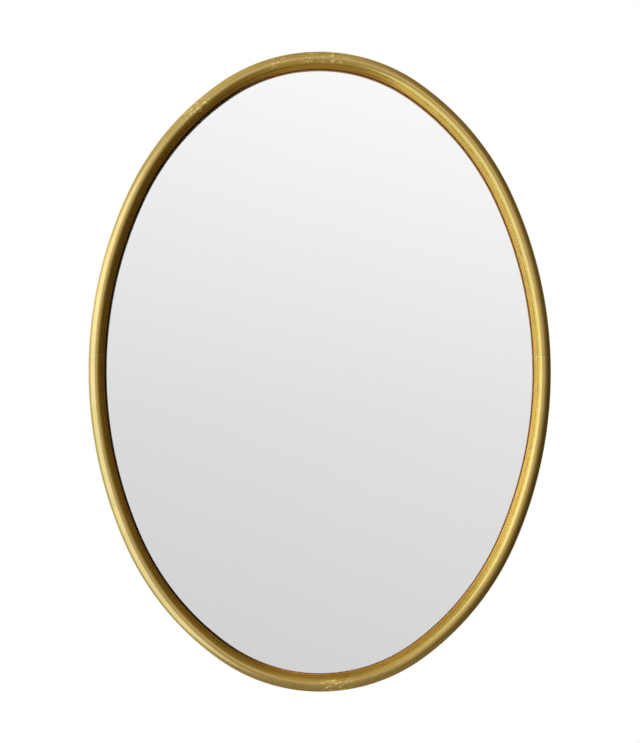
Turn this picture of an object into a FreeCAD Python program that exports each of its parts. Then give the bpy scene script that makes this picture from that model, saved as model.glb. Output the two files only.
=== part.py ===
import FreeCAD, Part
import math
import os

from FreeCAD import Vector

os.makedirs("parts", exist_ok=True)

# Oval wall mirror: a brass moulding formed over a wooden core, a silvered pane, a board held by turn
# buttons, and two strap hangers with D-rings.
# The mirror faces -Y and hangs with +Z up. The origin is the middle of the oval on the wall plane Y = 0.
# A place on the oval is given by the direction of its outward normal in degrees, 0 at the right-hand side
# and 90 at the top. A cross-section is drawn in (inset, depth): inset runs inward from the outer edge,
# depth runs backward from the crest of the moulding.

# Oval
oval_width = 504.0
oval_height = 700.0
side_flatness = 0.962
end_fullness = 1.046
link_fullness = 1.006

# Brass moulding
sheet = 0.8
crest_inset = 8.6
crease_inset = 15.0
crease_depth = 5.5
lip_width = 2.9
lip_depth = 3.6
lip_bulge = 0.3
flange_width = 3.2
bend_radius = 1.5
seam_rise = 11.0
seam_gap = 0.12

# Wooden core
core_clearance = 0.2
seat_depth = 12.5
rebate_inset = 12.2
dowel_radius = 2.0
dowel_length = 24.0
dowel_inset = 6.4
dowel_depths = (8.0, 16.0)
dowel_clearance = 0.05

# Seam straps
strap_length = 30.0
strap_thickness = 0.7
strap_half_angle = 65.0
strap_clearance = 0.35

# Pane, tape, blocks and board
tape_thickness = 0.6
tape_setback = 0.3
tape_clearance = 0.2
glass_thickness = 4.0
glass_clearance = 1.0
glass_arris = 0.4
coating_thickness = 0.2
coating_margin = 0.5
block_length = 20.0
block_clearance = 0.06
block_angles = (45.0, 135.0, 180.0, 248.0, 292.0, 0.0)
board_thickness = 5.0
board_clearance = 0.6
board_bevel = 0.8

# Screws, with a slotted pan head
screw_radius = 1.4
screw_head_radius = 2.8
screw_head_height = 1.8
screw_edge_height = 0.7
screw_slot_width = 0.8
screw_slot_depth = 0.8
screw_bite = 9.0
screw_point = 2.0
pilot_clearance = 0.03

# Turn buttons
button_angles = (14.5, 60.0, 120.0, 165.5, 194.5, 240.0, 300.0, 345.5)
button_inset = 7.7
button_arm = 15.0
button_pivot_radius = 4.0
button_tip_radius = 2.8
button_thickness = 1.2
button_edge = 0.3
button_play = 0.08
button_lift = 0.1
washer_radius = 3.4
washer_thickness = 1.0

# Pins through the flange
pin_angles = (6.0, 24.0, 46.0, 76.0)
pin_inset = 2.35
pin_radius = 0.5
pin_length = 8.0
pin_head_radius = 0.75
pin_head_height = 0.4
pin_clearance = 0.03

# Strap hangers and rings
hanger_angle = 34.0
hanger_inset = 7.9
hanger_width = 8.0
hanger_plate = 1.2
hanger_reach = 28.5
hanger_screw_distances = (15.5, 24.0)
hanger_hole_play = 0.1
ring_wire_radius = 1.2
ring_inner_width = 9.8
ring_corner_radius = 2.0
ring_leg = 4.7
ring_play = 0.08

# Wall bumpers
bumper_angles = (50.0, 130.0, 230.0, 310.0)
bumper_inset = 27.0
bumper_base_radius = 6.0
bumper_face_radius = 4.5
bumper_height = 5.0
bumper_edge = 0.8

# Levels, as depths behind the crest
lip_end_depth = crease_depth + lip_depth
glass_depth = seat_depth + tape_thickness
coating_depth = glass_depth + glass_thickness
board_depth = coating_depth + coating_thickness
board_back_depth = board_depth + board_thickness
land_depth = board_back_depth - washer_thickness
flange_depth = land_depth + sheet
wall_depth = board_back_depth + bumper_height

# Insets that follow from the section
shoulder_radius = ((crease_inset - crest_inset) ** 2 + crease_depth ** 2) / (2 * crease_depth)
face_width = crease_inset + lip_width
glass_inset = rebate_inset + glass_clearance

# The oval is eight arcs: flat side arcs, tight end arcs and four link arcs, tangent to one another
half_width = oval_width / 2
half_height = oval_height / 2
side_radius = side_flatness * half_height ** 2 / half_width
end_radius = end_fullness * half_width ** 2 / half_height
link_radius = link_fullness * (half_width + half_height) / 2


def oval_arcs():
    side_x = half_width - side_radius
    end_z = half_height - end_radius
    side_to_link = side_radius - link_radius
    link_to_end = link_radius - end_radius
    span = math.hypot(side_x, end_z)
    corner = (side_to_link ** 2 + span ** 2 - link_to_end ** 2) / (2 * side_to_link * span)
    first = math.atan2(end_z, -side_x) - math.acos(corner)
    link_x = side_x + side_to_link * math.cos(first)
    link_z = side_to_link * math.sin(first)
    second = math.atan2(end_z - link_z, -link_x)
    low = math.degrees(first)
    high = math.degrees(second)
    arcs = [(side_x, 0.0, side_radius, -low, low)]
    arcs.append((link_x, link_z, link_radius, low, high))
    arcs.append((0.0, end_z, end_radius, high, 180 - high))
    arcs.append((-link_x, link_z, link_radius, 180 - high, 180 - low))
    arcs.append((-side_x, 0.0, side_radius, 180 - low, 180 + low))
    arcs.append((-link_x, -link_z, link_radius, 180 + low, 180 + high))
    arcs.append((0.0, -end_z, end_radius, 180 + high, 360 - high))
    arcs.append((link_x, -link_z, link_radius, 360 - high, 360 - low))
    return arcs


ARCS = oval_arcs()


def outward(angle):
    turn = math.radians(angle)
    return Vector(math.cos(turn), 0, math.sin(turn))


def along(angle):
    turn = math.radians(angle)
    return Vector(-math.sin(turn), 0, math.cos(turn))


def arc_at(angle):
    turn = angle % 360
    for arc in ARCS:
        for shifted in (turn, turn - 360):
            if arc[3] <= shifted <= arc[4]:
                return arc
    return ARCS[0]


def on_oval(angle, inset, depth):
    x, z, radius, start, end = arc_at(angle)
    return Vector(x, depth - wall_depth, z) + outward(angle) * (radius - inset)


def oval_wire(inset, depth):
    edges = []
    for x, z, radius, start, end in ARCS:
        middle = Vector(x, depth - wall_depth, z)
        reach = radius - inset
        points = [middle + outward(turn) * reach for turn in (start, (start + end) / 2, end)]
        edges.append(Part.Arc(*points).toShape())
    return Part.Wire(edges)


def oval_plate(inset, depth, thickness):
    return Part.Face(oval_wire(inset, depth)).extrude(Vector(0, thickness, 0))


def section_wire(steps, angle, arc):
    # Each step is a straight line to a point, or an arc through one point to another
    x, z, radius, start, end = arc

    def place(point):
        return Vector(x, point[1] - wall_depth, z) + outward(angle) * (radius - point[0])

    edges = []
    here = steps[0]
    for step in steps[1:]:
        if len(step) == 2 and isinstance(step[0], tuple):
            edges.append(Part.Arc(place(here), place(step[0]), place(step[1])).toShape())
            here = step[1]
        else:
            edges.append(Part.makeLine(place(here), place(step)))
            here = step
    edges.append(Part.makeLine(place(here), place(steps[0])))
    return Part.Wire(edges)


def sweep(steps, first, last):
    # Carries a section round the oval from one normal direction to another, arc by arc
    sectors = []
    for turn in (-360, 0, 360):
        for arc in ARCS:
            start = max(first, arc[3] + turn)
            end = min(last, arc[4] + turn)
            if end - start > 1e-6:
                face = Part.Face(section_wire(steps, start, arc))
                axis_point = Vector(arc[0], 0, arc[1])
                sectors.append(face.revolve(axis_point, Vector(0, -1, 0), end - start))
    if len(sectors) == 1:
        return sectors[0]
    return sectors[0].fuse(sectors[1:])


def rod(base, direction, radius, length):
    return Part.makeCylinder(radius, length, base, direction)


def degrees_for(length, angle, inset):
    return math.degrees(length / (arc_at(angle)[2] - inset))


def save(name, shape):
    shape.exportStep("parts/" + name + ".step")


BACKWARD = Vector(0, 1, 0)

# Brass moulding: skirt, rounded crown, crease, sloping lip with a slight bulge and turned-in flange.
# The crown is a quarter circle outside the crest and a tighter arc, the shoulder, from crest to crease.
# The mitre shares move the corners of the sheet's back so that it stays equally thick round the bends.
crease_mitre = 0.4
lip_mitre = 0.35
inner_lip_depth = lip_end_depth + sheet * lip_mitre
slant = math.sqrt(0.5)


def crown_point(offset, angle):
    # A point at an offset under the crown, by the tilt of the surface: outward below zero, inward above
    radius = crest_inset if angle < 0 else shoulder_radius
    turn = math.radians(angle)
    reach = radius - offset
    return (crest_inset + reach * math.sin(turn), radius - reach * math.cos(turn))


def crown_arcs(offset, first, last):
    # The two steps that run over the crown from one tilt to another
    crest = (crest_inset, offset)
    outer_step = (crown_point(offset, first / 2), crest)
    inner_step = (crown_point(offset, last / 2), crown_point(offset, last))
    return [outer_step, inner_step]


def crease_tilt(offset, depth):
    # The tilt at which the shoulder reaches a depth
    return math.degrees(math.acos((shoulder_radius - depth) / (shoulder_radius - offset)))


def bulged(start, end):
    # A shallow arc that stands forward of the straight line between two points
    run = end[0] - start[0]
    drop = end[1] - start[1]
    lift = lip_bulge / math.hypot(run, drop)
    middle = ((start[0] + end[0]) / 2 + drop * lift, (start[1] + end[1]) / 2 - run * lift)
    return (middle, end)


def bend(inset, depth, radius):
    return ((inset + radius * (1 - slant), depth - radius * (1 - slant)), (inset, depth - radius))


inner_bend = bend_radius - sheet
outer_tilt = crease_tilt(0.0, crease_depth)
inner_tilt = crease_tilt(sheet, crease_depth + sheet * crease_mitre)
inner_crease = crown_point(sheet, inner_tilt)
inner_lip = bulged(inner_crease, (face_width - sheet, inner_lip_depth))
inner_crown = crown_arcs(sheet, -90, inner_tilt)
moulding_section = [
    (flange_width, flange_depth),
    (bend_radius, flange_depth),
    bend(0.0, flange_depth, bend_radius),
    (0.0, crest_inset),
    *crown_arcs(0.0, -90, outer_tilt),
    bulged((crease_inset, crease_depth), (face_width, lip_end_depth)),
    (face_width, seat_depth),
    (face_width - sheet, seat_depth),
    (face_width - sheet, inner_lip_depth),
    (inner_lip[0], inner_crease),
    (inner_crown[1][0], (crest_inset, sheet)),
    (inner_crown[0][0], (sheet, crest_inset)),
    (sheet, land_depth - inner_bend),
    ((sheet + inner_bend * (1 - slant), land_depth - inner_bend * (1 - slant)),
     (sheet + inner_bend, land_depth)),
    (flange_width, land_depth),
]
seam_angle = math.degrees(math.asin(seam_rise / side_radius))
seam_half = degrees_for(seam_gap / 2, 0.0, crest_inset)
upper_half = sweep(moulding_section, seam_angle + seam_half, 180 - seam_angle - seam_half)
lower_half = sweep(moulding_section, 180 - seam_angle + seam_half, 360 + seam_angle - seam_half)

# Pins through the flange into the core
all_pin_angles = []
for angle in pin_angles:
    all_pin_angles += [angle, 180 - angle, 180 + angle, 360 - angle]
pins = []
pin_holes = []
for angle in all_pin_angles:
    seat = on_oval(angle, pin_inset, flange_depth)
    foot = seat - BACKWARD * pin_length
    shank = rod(foot, BACKWARD, pin_radius, pin_length)
    dome_radius = (pin_head_radius ** 2 + pin_head_height ** 2) / (2 * pin_head_height)
    ball = Part.makeSphere(dome_radius, seat + BACKWARD * (pin_head_height - dome_radius))
    cap = rod(seat, BACKWARD, pin_head_radius, pin_head_height).common(ball)
    pins.append(shank.fuse(cap))
    pin_holes.append(rod(foot - BACKWARD, BACKWARD, pin_radius + pin_clearance, pin_length + 2))
upper_half = upper_half.cut(pin_holes)
lower_half = lower_half.cut(pin_holes)
save("frame_upper_half", upper_half)
save("frame_lower_half", lower_half)
save("frame_pins", Part.Compound(pins))

# Seam straps: curved tongues that lie inside the crown and bridge the two seams
strap_face = sheet + strap_clearance
strap_back = strap_face + strap_thickness


def strap_section(face, back, half_angle):
    return [
        crown_point(face, -half_angle),
        *crown_arcs(face, -half_angle, half_angle),
        crown_point(back, half_angle),
        (crown_point(back, half_angle / 2), (crest_inset, back)),
        (crown_point(back, -half_angle / 2), crown_point(back, -half_angle)),
    ]


strap_half = degrees_for(strap_length / 2, 0.0, crest_inset)
for side, seam in (("right", seam_angle), ("left", 180 - seam_angle)):
    section = strap_section(strap_face, strap_back, strap_half_angle)
    save("joint_strap_" + side, sweep(section, seam - strap_half, seam + strap_half))

# Wooden core: it fills the moulding and carries the rebate for the glass. Under each seam strap its crown
# is planed lower.
core_edge = sheet + core_clearance
core_crease_depth = crease_depth + core_edge * crease_mitre
core_crease = crown_point(core_edge, crease_tilt(core_edge, core_crease_depth))
core_inner = face_width - core_edge


def core_section(crown_offset):
    crown_end = crease_tilt(crown_offset, core_crease_depth)
    crown = [(core_edge, crest_inset)]
    if crown_offset > core_edge:
        crown.append((crown_offset, crest_inset))
    crown += crown_arcs(crown_offset, -90, crown_end)
    if crown_offset > core_edge:
        crown.append(core_crease)
    return crown + [
        bulged(core_crease, (core_inner, lip_end_depth + core_edge * lip_mitre)),
        (core_inner, seat_depth),
        (rebate_inset, seat_depth),
        (rebate_inset, land_depth),
        (core_edge + inner_bend, land_depth),
        bend(core_edge, land_depth, inner_bend),
    ]


relief_half = strap_half + degrees_for(core_clearance, 0.0, crest_inset)


def core_half(first, last, seam):
    low = sweep(core_section(core_edge), first, seam - relief_half)
    relieved = sweep(core_section(strap_back + core_clearance), seam - relief_half, seam + relief_half)
    high = sweep(core_section(core_edge), seam + relief_half, last)
    return low.fuse([relieved, high])


core_right = core_half(-90, 90, seam_angle)
core_left = core_half(90, 270, 180 - seam_angle)

# Dowels across the two core joints, at the top and the bottom of the oval
dowels = []
dowel_holes = []
for angle in (90, 270):
    for depth in dowel_depths:
        middle = on_oval(angle, dowel_inset, depth)
        start = middle - along(angle) * (dowel_length / 2)
        dowels.append(rod(start, along(angle), dowel_radius, dowel_length))
        hole_start = start - along(angle) * core_clearance
        hole_length = dowel_length + 2 * core_clearance
        dowel_holes.append(rod(hole_start, along(angle), dowel_radius + dowel_clearance, hole_length))
save("core_dowels", Part.Compound(dowels))

# Tape on the rebate, then the pane with eased edges and its silvered back
tape = oval_plate(rebate_inset + tape_clearance, seat_depth, tape_thickness)
tape = tape.cut(oval_plate(face_width - tape_setback, seat_depth, tape_thickness))
save("glass_tape", tape)

pane = oval_plate(glass_inset, glass_depth, glass_thickness)
flat_faces = [face for face in pane.Faces if face.normalAt(0, 0).cross(BACKWARD).Length < 1e-6]
rims = [edge for face in flat_faces for edge in face.Edges]
save("mirror_glass", pane.makeChamfer(glass_arris, rims))
save("silver_coating", oval_plate(glass_inset + coating_margin, coating_depth, coating_thickness))

# Setting blocks between the edge of the glass and the rebate
block_section = [
    (rebate_inset + block_clearance, glass_depth),
    (glass_inset - block_clearance, glass_depth),
    (glass_inset - block_clearance, coating_depth),
    (rebate_inset + block_clearance, coating_depth),
]
blocks = []
for angle in block_angles:
    block_half = degrees_for(block_length / 2, angle, rebate_inset)
    blocks.append(sweep(block_section, angle - block_half, angle + block_half))
save("setting_blocks", Part.Compound(blocks))

# Board behind the pane, bevelled along its back edge
board = oval_plate(rebate_inset + board_clearance, board_depth, board_thickness)
back_face = max(board.Faces, key=lambda face: face.CenterOfMass.y)
save("back_board", board.makeChamfer(board_bevel, back_face.Edges))


# Slotted pan-head screw whose head seats at a point and whose shank runs forward from there
def screw(seat, bite, slot_angle):
    shank = rod(seat - BACKWARD * bite, BACKWARD, screw_radius, bite)
    tip = seat - BACKWARD * bite
    point = Part.makeCone(screw_radius, screw_radius / 4, screw_point, tip, -BACKWARD)
    rise = screw_head_height - screw_edge_height
    dome_radius = (screw_head_radius ** 2 + rise ** 2) / (2 * rise)
    ball = Part.makeSphere(dome_radius, seat + BACKWARD * (screw_head_height - dome_radius))
    head = rod(seat, BACKWARD, screw_head_radius, screw_head_height).common(ball)
    slot_half = screw_head_radius + screw_slot_width
    slot = Part.makeBox(2 * slot_half, screw_slot_depth, screw_slot_width)
    slot.translate(Vector(-slot_half, screw_head_height - screw_slot_depth, -screw_slot_width / 2))
    slot.rotate(Vector(0, 0, 0), BACKWARD, slot_angle)
    slot.translate(seat)
    return head.cut(slot).fuse([shank, point])


def pilot(seat, bite):
    reach = bite + screw_point
    return rod(seat - BACKWARD * reach, BACKWARD, screw_radius + pilot_clearance, reach)


# Turn buttons, each on a washer, with the arm pointing inward over the board
def button_plate(pivot, toward):
    lean = math.acos((button_pivot_radius - button_tip_radius) / button_arm)
    side = BACKWARD.cross(toward)
    tip = pivot + toward * button_arm
    edge_one = toward * math.cos(lean) + side * math.sin(lean)
    edge_two = toward * math.cos(lean) - side * math.sin(lean)
    tip_arc = Part.Arc(tip + edge_one * button_tip_radius, tip + toward * button_tip_radius,
                       tip + edge_two * button_tip_radius)
    tail_arc = Part.Arc(pivot + edge_two * button_pivot_radius, pivot - toward * button_pivot_radius,
                        pivot + edge_one * button_pivot_radius)
    near = Part.makeLine(tip + edge_two * button_tip_radius, pivot + edge_two * button_pivot_radius)
    far = Part.makeLine(pivot + edge_one * button_pivot_radius, tip + edge_one * button_tip_radius)
    outline = Part.Wire([tip_arc.toShape(), near, tail_arc.toShape(), far])
    plate = Part.Face(outline).extrude(BACKWARD * button_thickness)
    top = max(plate.Faces, key=lambda face: face.CenterOfMass.y)
    plate = plate.makeFillet(button_edge, top.Edges)
    return plate.cut(rod(pivot - BACKWARD, BACKWARD, screw_radius + button_play, button_thickness + 2))


button_screws = []
washers = []
pilots = []
for number, angle in enumerate(button_angles, start=1):
    washer_seat = on_oval(angle, button_inset, land_depth)
    ring = rod(washer_seat, BACKWARD, washer_radius, washer_thickness)
    washers.append(ring.cut(rod(washer_seat, BACKWARD, screw_radius + button_play, washer_thickness)))
    pivot = washer_seat + BACKWARD * (washer_thickness + button_lift)
    save("turn_button_%d" % number, button_plate(pivot, -outward(angle)))
    head_seat = pivot + BACKWARD * (button_thickness + button_lift)
    grip = washer_thickness + button_thickness + 2 * button_lift
    button_screws.append(screw(head_seat, screw_bite + grip, angle * 3))
    pilots.append(pilot(washer_seat, screw_bite))
save("turn_button_screws", Part.Compound(button_screws))
save("washers", Part.Compound(washers))

# Strap hangers: a plate rolled into an eye at its upper end, with a D-ring hanging down from the eye
ring_half = ring_inner_width / 2 + ring_wire_radius
eye_bore = ring_wire_radius + ring_play
eye_radius = eye_bore + hanger_plate


def hanger(middle, down, across):
    # middle lies on the wood under the eye
    half = across * (hanger_width / 2)
    end_middle = middle + down * (hanger_reach - hanger_width / 2)
    outline = Part.Wire([
        Part.makeLine(middle + half, end_middle + half),
        Part.Arc(end_middle + half, middle + down * hanger_reach, end_middle - half).toShape(),
        Part.makeLine(end_middle - half, middle - half),
        Part.makeLine(middle - half, middle + half),
    ])
    plate = Part.Face(outline).extrude(BACKWARD * hanger_plate)
    axis_start = middle + BACKWARD * eye_radius - half
    plate = plate.fuse(rod(axis_start, across, eye_radius, hanger_width))
    plate = plate.cut(rod(axis_start - across, across, eye_bore, hanger_width + 2))
    for distance in hanger_screw_distances:
        hole = middle + down * distance - BACKWARD
        plate = plate.cut(rod(hole, BACKWARD, screw_radius + hanger_hole_play, hanger_plate + 2))
    return plate.removeSplitter()


def d_ring(centre, down, across):
    # Straight bar, two corners, two legs and a half-round bow, bent from one wire
    corner = ring_corner_radius

    def spot(place):
        sideways, below = place
        return centre + across * sideways + down * below

    def straight(first, last):
        return Part.makeLine(spot(first), spot(last))

    def curve(first, through, last):
        return Part.Arc(spot(first), spot(through), spot(last)).toShape()

    inside = corner * (1 - slant)
    bow = ring_half * slant
    path = Part.Wire([
        straight((0, 0), (ring_half - corner, 0)),
        curve((ring_half - corner, 0), (ring_half - inside, inside), (ring_half, corner)),
        straight((ring_half, corner), (ring_half, ring_leg)),
        curve((ring_half, ring_leg), (bow, ring_leg + bow), (0, ring_leg + ring_half)),
        curve((0, ring_leg + ring_half), (-bow, ring_leg + bow), (-ring_half, ring_leg)),
        straight((-ring_half, ring_leg), (-ring_half, corner)),
        curve((-ring_half, corner), (-ring_half + inside, inside), (-ring_half + corner, 0)),
        straight((-ring_half + corner, 0), (0, 0)),
    ])
    wire_section = Part.Wire([Part.makeCircle(ring_wire_radius, centre, across)])
    return path.makePipeShell([wire_section], True, False)


hanger_screws = []
for side, angle, upward in (("right", hanger_angle, 1), ("left", 180 - hanger_angle, -1)):
    up = along(angle) * upward
    down = -up
    across = BACKWARD.cross(down)
    seat = on_oval(angle, hanger_inset, land_depth) + up * (hanger_reach / 2)
    save("hanger_strap_" + side, hanger(seat, down, across))
    save("hanger_ring_" + side, d_ring(seat + BACKWARD * eye_radius, down, across))
    for distance in hanger_screw_distances:
        wood_point = seat + down * distance
        hanger_screws.append(screw(wood_point + BACKWARD * hanger_plate, screw_bite + hanger_plate, angle))
        pilots.append(pilot(wood_point, screw_bite))
save("hanger_screws", Part.Compound(hanger_screws))

# The core is bored for the pins, screws and dowels
for cuts in (pin_holes, pilots, dowel_holes):
    core_right = core_right.cut(cuts)
    core_left = core_left.cut(cuts)
save("core_right_half", core_right)
save("core_left_half", core_left)

# Rubber bumpers on the board, whose flat faces meet the wall
bumpers = []
for angle in bumper_angles:
    foot = on_oval(angle, bumper_inset, board_back_depth)
    cone = Part.makeCone(bumper_base_radius, bumper_face_radius, bumper_height, foot, BACKWARD)
    face_rim = max(cone.Edges, key=lambda edge: edge.CenterOfMass.y)
    bumpers.append(cone.makeFillet(bumper_edge, [face_rim]))
save("wall_bumpers", Part.Compound(bumpers))
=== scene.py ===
import math

import bpy
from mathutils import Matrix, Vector


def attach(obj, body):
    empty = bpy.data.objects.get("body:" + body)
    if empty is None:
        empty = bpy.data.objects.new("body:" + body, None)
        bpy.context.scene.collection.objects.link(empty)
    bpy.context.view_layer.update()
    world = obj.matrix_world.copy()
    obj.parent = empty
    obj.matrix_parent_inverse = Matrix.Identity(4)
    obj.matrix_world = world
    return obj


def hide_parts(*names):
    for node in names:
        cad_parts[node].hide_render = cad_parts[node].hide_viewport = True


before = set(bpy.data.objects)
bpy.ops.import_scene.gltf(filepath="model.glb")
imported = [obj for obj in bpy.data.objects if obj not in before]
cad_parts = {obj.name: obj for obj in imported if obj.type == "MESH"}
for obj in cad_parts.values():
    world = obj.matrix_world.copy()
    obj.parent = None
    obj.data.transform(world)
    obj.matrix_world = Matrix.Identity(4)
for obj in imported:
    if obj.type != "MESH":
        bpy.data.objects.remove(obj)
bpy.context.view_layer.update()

MM = 0.001

# Wooden core: two half ovals of bent beech that the brass is formed over, with dowels in the end joints
# at the top and the bottom. Only the narrow planed land round the back shows, left bare.
half_width = 252.0 * MM
half_height = 350.0 * MM
beech_light = (0.55, 0.36, 0.19, 1)
beech_dark = (0.37, 0.21, 0.095, 1)
dowel_light = (0.62, 0.45, 0.26, 1)
dowel_dark = (0.46, 0.30, 0.15, 1)


def node(tree, kind, inputs=None, **settings):
    # Adds a node. A socket given as an input is linked, and any other value is set on the node's own socket.
    made = tree.nodes.new(kind)
    for name, value in settings.items():
        setattr(made, name, value)
    for name, value in (inputs or {}).items():
        if isinstance(value, bpy.types.NodeSocket):
            tree.links.new(value, made.inputs[name])
        else:
            made.inputs[name].default_value = value
    return made


def maths(tree, operation, first, second=0.0):
    # One sum of two numbers or sockets
    return node(tree, "ShaderNodeMath", {0: first, 1: second}, operation=operation).outputs[0]


def spread(tree, value, low, high, to_low=0.0, to_high=1.0):
    # Maps a range of a value smoothly onto another range and clamps it there
    inputs = {"Value": value, "From Min": low, "From Max": high, "To Min": to_low, "To Max": to_high}
    return node(tree, "ShaderNodeMapRange", inputs, interpolation_type="SMOOTHSTEP").outputs[0]


def mixed(tree, factor, first, second):
    # The first colour, with the second laid over it by a factor
    return node(tree, "ShaderNodeMix", {0: factor, 6: first, 7: second}, data_type="RGBA").outputs[2]


def noise(tree, place, scale, detail, roughness=0.5, distortion=0.0):
    # Soft noise from 0 to 1
    inputs = {
        "Vector": place,
        "Scale": scale,
        "Detail": detail,
        "Roughness": roughness,
        "Distortion": distortion,
    }
    return node(tree, "ShaderNodeTexNoise", inputs).outputs["Fac"]


def new_material(name):
    # A new material with its tree, its shader and the place on the object that its patterns follow
    material = bpy.data.materials.new(name)
    material.use_nodes = True
    tree = material.node_tree
    place = node(tree, "ShaderNodeTexCoord").outputs["Object"]
    return material, tree, tree.nodes["Principled BSDF"], place


def emboss(tree, shader, height, strength, distance):
    # Fine relief that is too small for the mesh
    bump = node(tree, "ShaderNodeBump", {"Strength": strength, "Distance": distance, "Height": height})
    tree.links.new(bump.outputs[0], shader.inputs["Normal"])


def dress(node_name, material):
    # Gives a CAD node its looks
    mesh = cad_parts[node_name].data
    mesh.materials.clear()
    mesh.materials.append(material)


def wood(name, light, dark, grain):
    # Bent wood, with its grain running round the oval
    material, tree, shader, place = new_material(name)
    split = node(tree, "ShaderNodeSeparateXYZ", {0: place}).outputs
    across = maths(tree, "MULTIPLY", split["X"], 1 / half_width)
    upward = maths(tree, "MULTIPLY", split["Z"], 1 / half_height)
    squares = maths(tree, "ADD", maths(tree, "POWER", across, 2), maths(tree, "POWER", upward, 2))
    ring = maths(tree, "SQRT", squares)
    layer = maths(tree, "MULTIPLY", maths(tree, "ADD", ring, split["Y"]), grain)
    follow = node(tree, "ShaderNodeCombineXYZ", {"X": across, "Y": upward, "Z": layer}).outputs[0]
    lines = noise(tree, follow, scale=3.0, detail=5.0, roughness=0.65)
    pores = noise(tree, place, scale=1500.0, detail=1.0)
    tree.links.new(mixed(tree, spread(tree, lines, 0.35, 0.65), light, dark), shader.inputs["Base Color"])
    tree.links.new(spread(tree, pores, 0.3, 0.7, 0.55, 0.75), shader.inputs["Roughness"])
    emboss(tree, shader, maths(tree, "ADD", lines, pores), strength=0.25, distance=0.2 * MM)
    return material


core_wood = wood("core_wood", beech_light, beech_dark, grain=160.0)
dress("core_left_half", core_wood)
dress("core_right_half", core_wood)
dress("core_dowels", wood("dowel_wood", dowel_light, dowel_dark, grain=90.0))

# Seam straps: curved brass tongues soldered inside the crown, one under each seam.
# They are raw brass, with the dull mottle of metal that has never been polished.
raw_brass = (0.56, 0.37, 0.13, 1)
raw_brass_dark = (0.36, 0.21, 0.07, 1)


def marks_group():
    # Marks that every metal piece shares: slow mottle, fine lines along a stretched space, and small specks
    group = bpy.data.node_groups.new("metal_marks", "ShaderNodeTree")
    for label in ("Place", "Stretched"):
        group.interface.new_socket(label, in_out="INPUT", socket_type="NodeSocketVector")
    for label in ("Mottle", "Lines", "Specks"):
        group.interface.new_socket(label, in_out="OUTPUT", socket_type="NodeSocketFloat")
    given = group.nodes.new("NodeGroupInput").outputs
    result = group.nodes.new("NodeGroupOutput").inputs
    mottle = noise(group, given["Place"], scale=55.0, detail=4.0, roughness=0.6)
    lines = noise(group, given["Stretched"], scale=1.0, detail=3.0, roughness=0.7)
    dust = noise(group, given["Place"], scale=900.0, detail=1.0)
    group.links.new(spread(group, mottle, 0.3, 0.7), result["Mottle"])
    group.links.new(lines, result["Lines"])
    group.links.new(spread(group, dust, 0.66, 0.74), result["Specks"])
    return group


metal_marks = marks_group()


def metal(name, clean, dull, roughness, stretch):
    # Plain metal whose fine lines run along the axis that the stretch leaves small
    material, tree, shader, place = new_material(name)
    roughness_play = 0.07
    speck_share = 0.5
    stretched = node(tree, "ShaderNodeVectorMath", {0: place, 1: stretch}, operation="MULTIPLY").outputs[0]
    spaces = {"Place": place, "Stretched": stretched}
    marks = node(tree, "ShaderNodeGroup", spaces, node_tree=metal_marks).outputs
    worn = mixed(tree, marks["Mottle"], clean, dull)
    specked = mixed(tree, maths(tree, "MULTIPLY", marks["Specks"], speck_share), worn, dull)
    tree.links.new(specked, shader.inputs["Base Color"])
    shader.inputs["Metallic"].default_value = 1.0
    rough = spread(tree, marks["Lines"], 0.3, 0.7, roughness - roughness_play, roughness + roughness_play)
    tree.links.new(rough, shader.inputs["Roughness"])
    emboss(tree, shader, marks["Lines"], strength=0.12, distance=0.05 * MM)
    return material


strap_brass = metal("strap_brass", raw_brass, raw_brass_dark, roughness=0.42, stretch=(900.0, 900.0, 60.0))
dress("joint_strap_left", strap_brass)
dress("joint_strap_right", strap_brass)

# Brass moulding: two half ovals folded from 0.8 mm sheet, each with a skirt, a rounded crown, a crease,
# a sloping lip at the sight edge and a flange turned in over the core, where pins hold it. They meet in
# a seam at each side. The brass is brushed across its length, with grime and painted shade in the crease,
# tarnish and painted shade on the outer rim, painted shade towards the bottom, a painted warm reflection
# on the inner shoulder and a near black painted shadow down the left sight edge.
side_flatness = 0.962
end_fullness = 1.046
link_fullness = 1.006
side_radius = side_flatness * half_height ** 2 / half_width
end_radius = end_fullness * half_width ** 2 / half_height
link_radius = link_fullness * (half_width + half_height) / 2
sheet = 0.8 * MM
crest_inset = 8.6 * MM
crease_inset = 15.0 * MM
crease_depth = 5.5 * MM
lip_width = 2.9 * MM
lip_depth = 3.6 * MM
lip_bulge = 0.3 * MM
seat_depth = 12.5 * MM
bend_radius = 1.5 * MM
flange_width = 3.2 * MM
flange_depth = 22.1 * MM
wall_depth = 27.3 * MM
seam_rise = 11.0 * MM
seam_gap = 0.12 * MM
seam_ease = 0.1 * MM
ease_length = 1.2 * MM
weld_distance = 0.002 * MM
path_step = 0.55
seam_step = 0.03
seam_points = 6
brass = (0.575, 0.390, 0.127, 1)
brass_dull = (0.525, 0.354, 0.113, 1)
# Painted warm reflection: a warmer brass laid on the crown's inner shoulder for the warm light it faces
brass_warm_reflection = (0.56, 0.345, 0.055, 1)
lip_copper = (0.48, 0.25, 0.045, 1)
sight_copper = (0.54, 0.22, 0.03, 1)
edge_tint = (1.0, 0.82, 0.5, 1)
# Grime, which also serves as painted shade in the crease, on the rim and towards the bottom
grime_and_shade = (0.085, 0.045, 0.014, 1)
# Near black for a painted shadow down the left sight edge
painted_shadow_black = (0.010, 0.005, 0.003, 1)
scuff_pale = (0.96, 0.78, 0.28, 1)
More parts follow.
